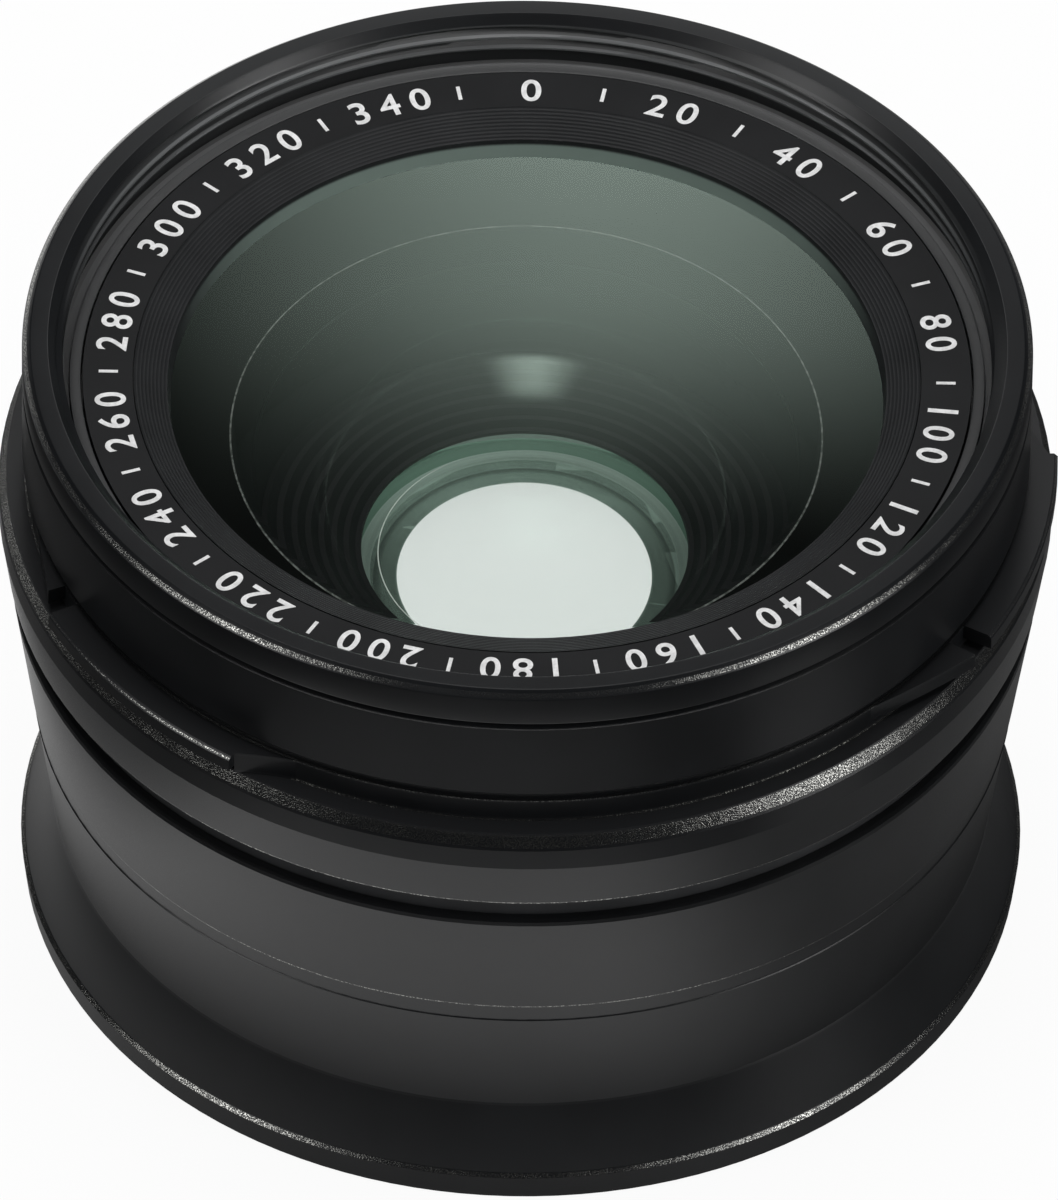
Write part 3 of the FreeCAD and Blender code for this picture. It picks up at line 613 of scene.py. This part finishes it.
# front retaining ring: its slope sinks by a row of fine round grooves, the
# absolute sine of the way along it
def makeRetainer(look):
    t = np.linspace(0, 1, look["slopeRows"])[:, None]
    slope = (1 - t) * np.array(look["mouth"]) + t * np.array(look["edge"])
    slope[:, 1] -= look["depth"] * np.abs(np.sin(np.pi * look["grooves"] * t[:, 0]))
    outline = np.vstack([slope, rounded(look["body"], look["round"])])[::-1]
    return lathe("retaining_ring_grooved", outline[:, 0], outline[:, 1], look["columns"])


retainerPiece = makeRetainer(retainer)
finishPiece(
    retainerPiece, looks["front_retaining_ring"], "front_retaining_ring",
)
print("retaining ring made")

frontGlass = dict(
    vertex=34.11, curve=95.0, thickness=2.4, rearCurve=26.0, hollow=14.9, rimInside=0.06,
    rimOutside=0.04, seat=27.017, faceRadius=20.3, radius=20.6, bevel=0.3, capRows=60,
    columns=256,
)


# front glass: sphere caps in front and behind; the height of a cap at a radius
# is its vertex less curve - sqrt(curve squared - radius squared)
def makeFrontGlass(look):
    def cap(vertex, curve, radius):
        height = vertex - curve + np.sqrt(curve ** 2 - radius ** 2)
        return np.column_stack([radius, height])

    rearRadius = np.linspace(0, look["hollow"] - look["rimInside"], look["capRows"])
    rear = cap(look["vertex"] - look["thickness"], look["rearCurve"], rearRadius)
    frontRadius = np.linspace(look["faceRadius"], 0, look["capRows"])
    front = cap(look["vertex"], look["curve"], frontRadius)
    side = np.array([
        (look["hollow"] + look["rimOutside"], look["seat"]), (look["faceRadius"], look["seat"]),
        (look["radius"], look["seat"] + look["bevel"]),
        (look["radius"], front[0, 1] - look["bevel"]),
    ])
    outline = np.vstack([rear, side, front])
    return lathe("front_glass", outline[:, 0], outline[:, 1], look["columns"], closed=False)


glassPiece = makeFrontGlass(frontGlass)
finishPiece(glassPiece, looks["front_element"], "front_element")
print("front glass made")

# numberStep and tickStep in degrees, the rest in mm, but middle is a part of
# the size: the height of a digit's middle above its foot. fatter is how far its
# outline is moved out
scaleMarks = dict(
    ringRadius=21.72, top=34.15, lift=0.012, sink=0.02, size=2.25, middle=0.36, fatter=0.03,
    charStep=1.68, numberStep=20, tickStep=10, tickLength=1.0, tickWidth=0.20,
)


# plain white scale of degrees on the marked ring: every number stands with its
# foot to the glass, and reads clockwise. A glyph point (x, y) goes to the
# radius inner + y, where inner is the radius of the feet, and is shifted x along
# the tangent
def makeScale(look):
    points, faces = [], []
    middle = look["middle"] * look["size"]
    inner = look["ringRadius"] - middle

    def place(flat, polys, angle):
        start = sum(len(part) for part in points)
        turn = math.radians(90.0 - angle)
        outward = np.array([math.cos(turn), math.sin(turn)])
        along = np.array([math.sin(turn), -math.cos(turn)])
        ground = (inner + flat[:, 1:2]) * outward + flat[:, 0:1] * along
        points.append(np.column_stack([ground, flat[:, 2]]))
        faces.extend([[start + index for index in poly] for poly in polys])

    glyphs = {}
    for digit in "0123456789":
        curve = bpy.data.curves.new("digit", "FONT")
        curve.body = digit
        curve.size = look["size"]
        curve.extrude = (look["lift"] + look["sink"]) / 2
        curve.offset = look["fatter"]
        letter = bpy.data.objects.new("digit", curve)
        mesh = bpy.data.meshes.new_from_object(letter)
        flat = np.array([v.co for v in mesh.vertices])
        flat[:, 0] -= (flat[:, 0].min() + flat[:, 0].max()) / 2
        flat[:, 2] += look["top"] + (look["lift"] - look["sink"]) / 2
        glyphs[digit] = (flat, [list(p.vertices) for p in mesh.polygons])
        bpy.data.meshes.remove(mesh)
        bpy.data.objects.remove(letter)
        bpy.data.curves.remove(curve)
    stepAngle = math.degrees(look["charStep"] / look["ringRadius"])
    for number in range(0, 360, look["numberStep"]):
        word = str(number)
        for index, digit in enumerate(word):
            place(*glyphs[digit], number + stepAngle * (index - (len(word) - 1) / 2))
    half, low = look["tickWidth"] / 2, middle - look["tickLength"] / 2
    high = low + look["tickLength"]
    corners = [(-half, low), (half, low), (half, high), (-half, high)]
    heights = (look["top"] - look["sink"], look["top"] + look["lift"])
    tick = np.array([(x, y, z) for z in heights for x, y in corners])
    sides = [[0, 3, 2, 1], [4, 5, 6, 7], [0, 1, 5, 4], [1, 2, 6, 5], [2, 3, 7, 6], [3, 0, 4, 7]]
    for angle in range(0, 360, look["tickStep"]):
        if angle % look["numberStep"]:
            place(tick, sides, angle)
    mesh = bpy.data.meshes.new("scale_marks")
    mesh.from_pydata((np.vstack(points) * mm).tolist(), [], faces)
    mesh.update()
    piece = bpy.data.objects.new("scale_marks", mesh)
    bpy.context.scene.collection.objects.link(piece)
    return piece


markLook = dict(
    cloudScale=2500.0, cloudDetail=(3.0, 0.6), deep=(0.62, 0.62, 0.62), pale=(0.80, 0.80, 0.80),
    roughness=0.5, specular=0.2, bump=0.3, bumpDepth=0.01,
)


# white paint of the scale: slightly uneven, with a faint grain
def markPaint(name, look):
    material, n = newMaterial(name)
    shader = n.add("ShaderNodeBsdfPrincipled")
    cloud = n.noise(look["cloudScale"], *look["cloudDetail"])
    paint = n.colours(n.ranged(cloud, *noiseSpan, 0.0, 1.0), look["deep"], look["pale"])
    n.put(paint, shader.inputs["Base Color"])
    shader.inputs["Roughness"].default_value = look["roughness"]
    shader.inputs["Specular IOR Level"].default_value = look["specular"]
    bump = n.add("ShaderNodeBump")
    bump.inputs["Distance"].default_value = look["bumpDepth"] * mm
    bump.inputs["Strength"].default_value = look["bump"]
    n.put(cloud, bump.inputs["Height"])
    n.put(bump.outputs[0], shader.inputs["Normal"])
    n.surface(n.letPass(shader.outputs[0], 1.0))
    return material


marksPiece = makeScale(scaleMarks)
finishPiece(marksPiece, markPaint("markPaint", markLook))
print("scale made")


# studio: a pale floor that is white to the eye and keeps a soft shadow, and a
# world that is white behind the object. Mirrored rays see a graded light on the
# floor: each shade is (from, to, level, level), near and far by the distance
# from the axis, side and left by x, back by y, and a patch by the distance from
# its middle. All rays but the camera's see the sky's level by elevation, and
# soft boxes in it, each round an angle about the vertical, counter-clockwise
# from x, and between two elevations; inGlass tells whether refracted rays see
# it too. Lengths in metres, angles in degrees
studioLook = dict(
    floorSize=3.0, floorColour=(0.80, 0.80, 0.80), floorGlow=0.94,
    nearShade=(0.0268, 0.0348, 0.25, 1.0), farShade=(0.042, 0.053, 1.0, 0.12),
    sideShade=(0.007, 0.028, 1.12, 0.17), leftShade=(-0.036, -0.0305, 0.15, 1.0),
    backShade=(0.052, 0.066, 0.0, 1.3), patch=(0.044, -0.035), patchShade=(0.005, 0.016, 0.36, 0.0),
    sky=(20.0, 75.0, 0.02, 0.05),
    boxes=(
        dict(
            turn=88.0, half=0.0, fade=16.0, low=22.0, high=38.5, soft=11.5, strength=2.2,
            inGlass=True,
        ),
        dict(
            turn=206.0, half=5.0, fade=20.0, low=22.0, high=38.0, soft=10.0, strength=4.2,
            inGlass=False,
        ),
        dict(
            turn=332.0, half=4.0, fade=16.0, low=4.0, high=38.0, soft=8.0, strength=6.0,
            inGlass=False,
        ),
    ),
    overhead=dict(size=0.7, height=0.9, place=(0.0, 0.15), power=7.0),
)


def makeFloor(look):
    half = look["floorSize"] / 2
    corners = [(-half, -half, 0), (half, -half, 0), (half, half, 0), (-half, half, 0)]
    mesh = bpy.data.meshes.new("floor")
    mesh.from_pydata(corners, [], [(0, 1, 2, 3)])
    floor = bpy.data.objects.new("floor", mesh)
    bpy.context.scene.collection.objects.link(floor)
    material, n = newMaterial("floorPale")
    rays = n.add("ShaderNodeLightPath")
    seen = n.math("MAXIMUM", rays.outputs["Is Camera Ray"], rays.outputs["Is Transmission Ray"])
    diffuse = n.dyed("ShaderNodeBsdfDiffuse", look["floorColour"])
    glow = n.add("ShaderNodeEmission")
    glow.inputs["Strength"].default_value = 1.0
    nearFrom, nearTo, *nearLevels = look["nearShade"]
    farFrom, farTo, *farLevels = look["farShade"]
    near = n.ranged(n.radius, nearFrom / mm, nearTo / mm, *nearLevels)
    far = n.ranged(n.radius, farFrom / mm, farTo / mm, *farLevels)
    side = n.ranged(n.x, *look["sideShade"])
    left = n.ranged(n.x, *look["leftShade"])
    level = n.math("MULTIPLY", n.math("MULTIPLY", near, far), n.math("MULTIPLY", side, left))
    back = n.math("MULTIPLY", n.ranged(n.y, *look["backShade"]), side)
    level = n.math("ADD", level, back)
    away = n.add("ShaderNodeVectorMath", operation="DISTANCE")
    n.put(n.place, away.inputs[0])
    away.inputs[1].default_value = (*look["patch"], 0.0)
    level = n.math("ADD", level, n.ranged(away.outputs["Value"], *look["patchShade"]))
    mirrored = n.add("ShaderNodeEmission")
    n.put(level, mirrored.inputs["Strength"])
    white = n.math("MULTIPLY", seen, look["floorGlow"])
    plain = n.shaders(white, diffuse.outputs[0], glow.outputs[0])
    n.surface(n.shaders(n.mirrorRay(), plain, mirrored.outputs[0]))
    mesh.materials.append(material)


def makeWorld(look):
    world = bpy.data.worlds.new("studio")
    bpy.context.scene.world = world
    world.use_nodes = True
    n = Nodes(world.node_tree)
    split = n.add("ShaderNodeSeparateXYZ")
    n.put(n.add("ShaderNodeTexCoord").outputs["Generated"], split.inputs[0])
    x, y, z = split.outputs
    degrees = 180 / math.pi
    elevation = n.math("MULTIPLY", n.math("ARCSINE", z), degrees)
    total = n.ranged(elevation, *look["sky"])
    rays = n.add("ShaderNodeLightPath")
    outside = n.math("SUBTRACT", 1.0, rays.outputs["Is Transmission Ray"])
    for box in look["boxes"]:
        turn = math.radians(box["turn"])
        cos, sin = math.cos(turn), math.sin(turn)
        ahead = n.math("ADD", n.math("MULTIPLY", x, cos), n.math("MULTIPLY", y, sin))
        aside = n.math("SUBTRACT", n.math("MULTIPLY", y, cos), n.math("MULTIPLY", x, sin))
        off = n.math("ABSOLUTE", n.math("MULTIPLY", n.math("ARCTAN2", aside, ahead), degrees))
        across = n.ranged(off, box["half"], box["fade"], 1.0, 0.0)
        upright = n.window(elevation, box["low"], box["high"], box["soft"])
        if not box["inGlass"]:
            across = n.math("MULTIPLY", across, outside)
        total = n.math("MULTIPLY_ADD", n.math("MULTIPLY", across, upright), box["strength"], total)
    white = n.dyed("ShaderNodeBackground", (1, 1, 1))
    white.inputs["Strength"].default_value = 1.0
    studio = n.dyed("ShaderNodeBackground", (1, 1, 1))
    n.put(total, studio.inputs["Strength"])
    seen = n.shaders(rays.outputs["Is Camera Ray"], studio.outputs[0], white.outputs[0])
    n.put(seen, n.add("ShaderNodeOutputWorld").inputs[0])


# soft light from above; it isn't seen through the glass
def makeOverhead(look):
    data = bpy.data.lights.new("overhead", "AREA")
    data.size = look["size"]
    data.energy = look["power"]
    light = bpy.data.objects.new("overhead", data)
    light.location = (*look["place"], look["height"])
    light.visible_camera = False
    light.visible_transmission = False
    bpy.context.scene.collection.objects.link(light)


makeFloor(studioLook)
makeWorld(studioLook)
makeOverhead(studioLook["overhead"])
bpy.context.scene.view_settings.view_transform = "Standard"
print("studio set")
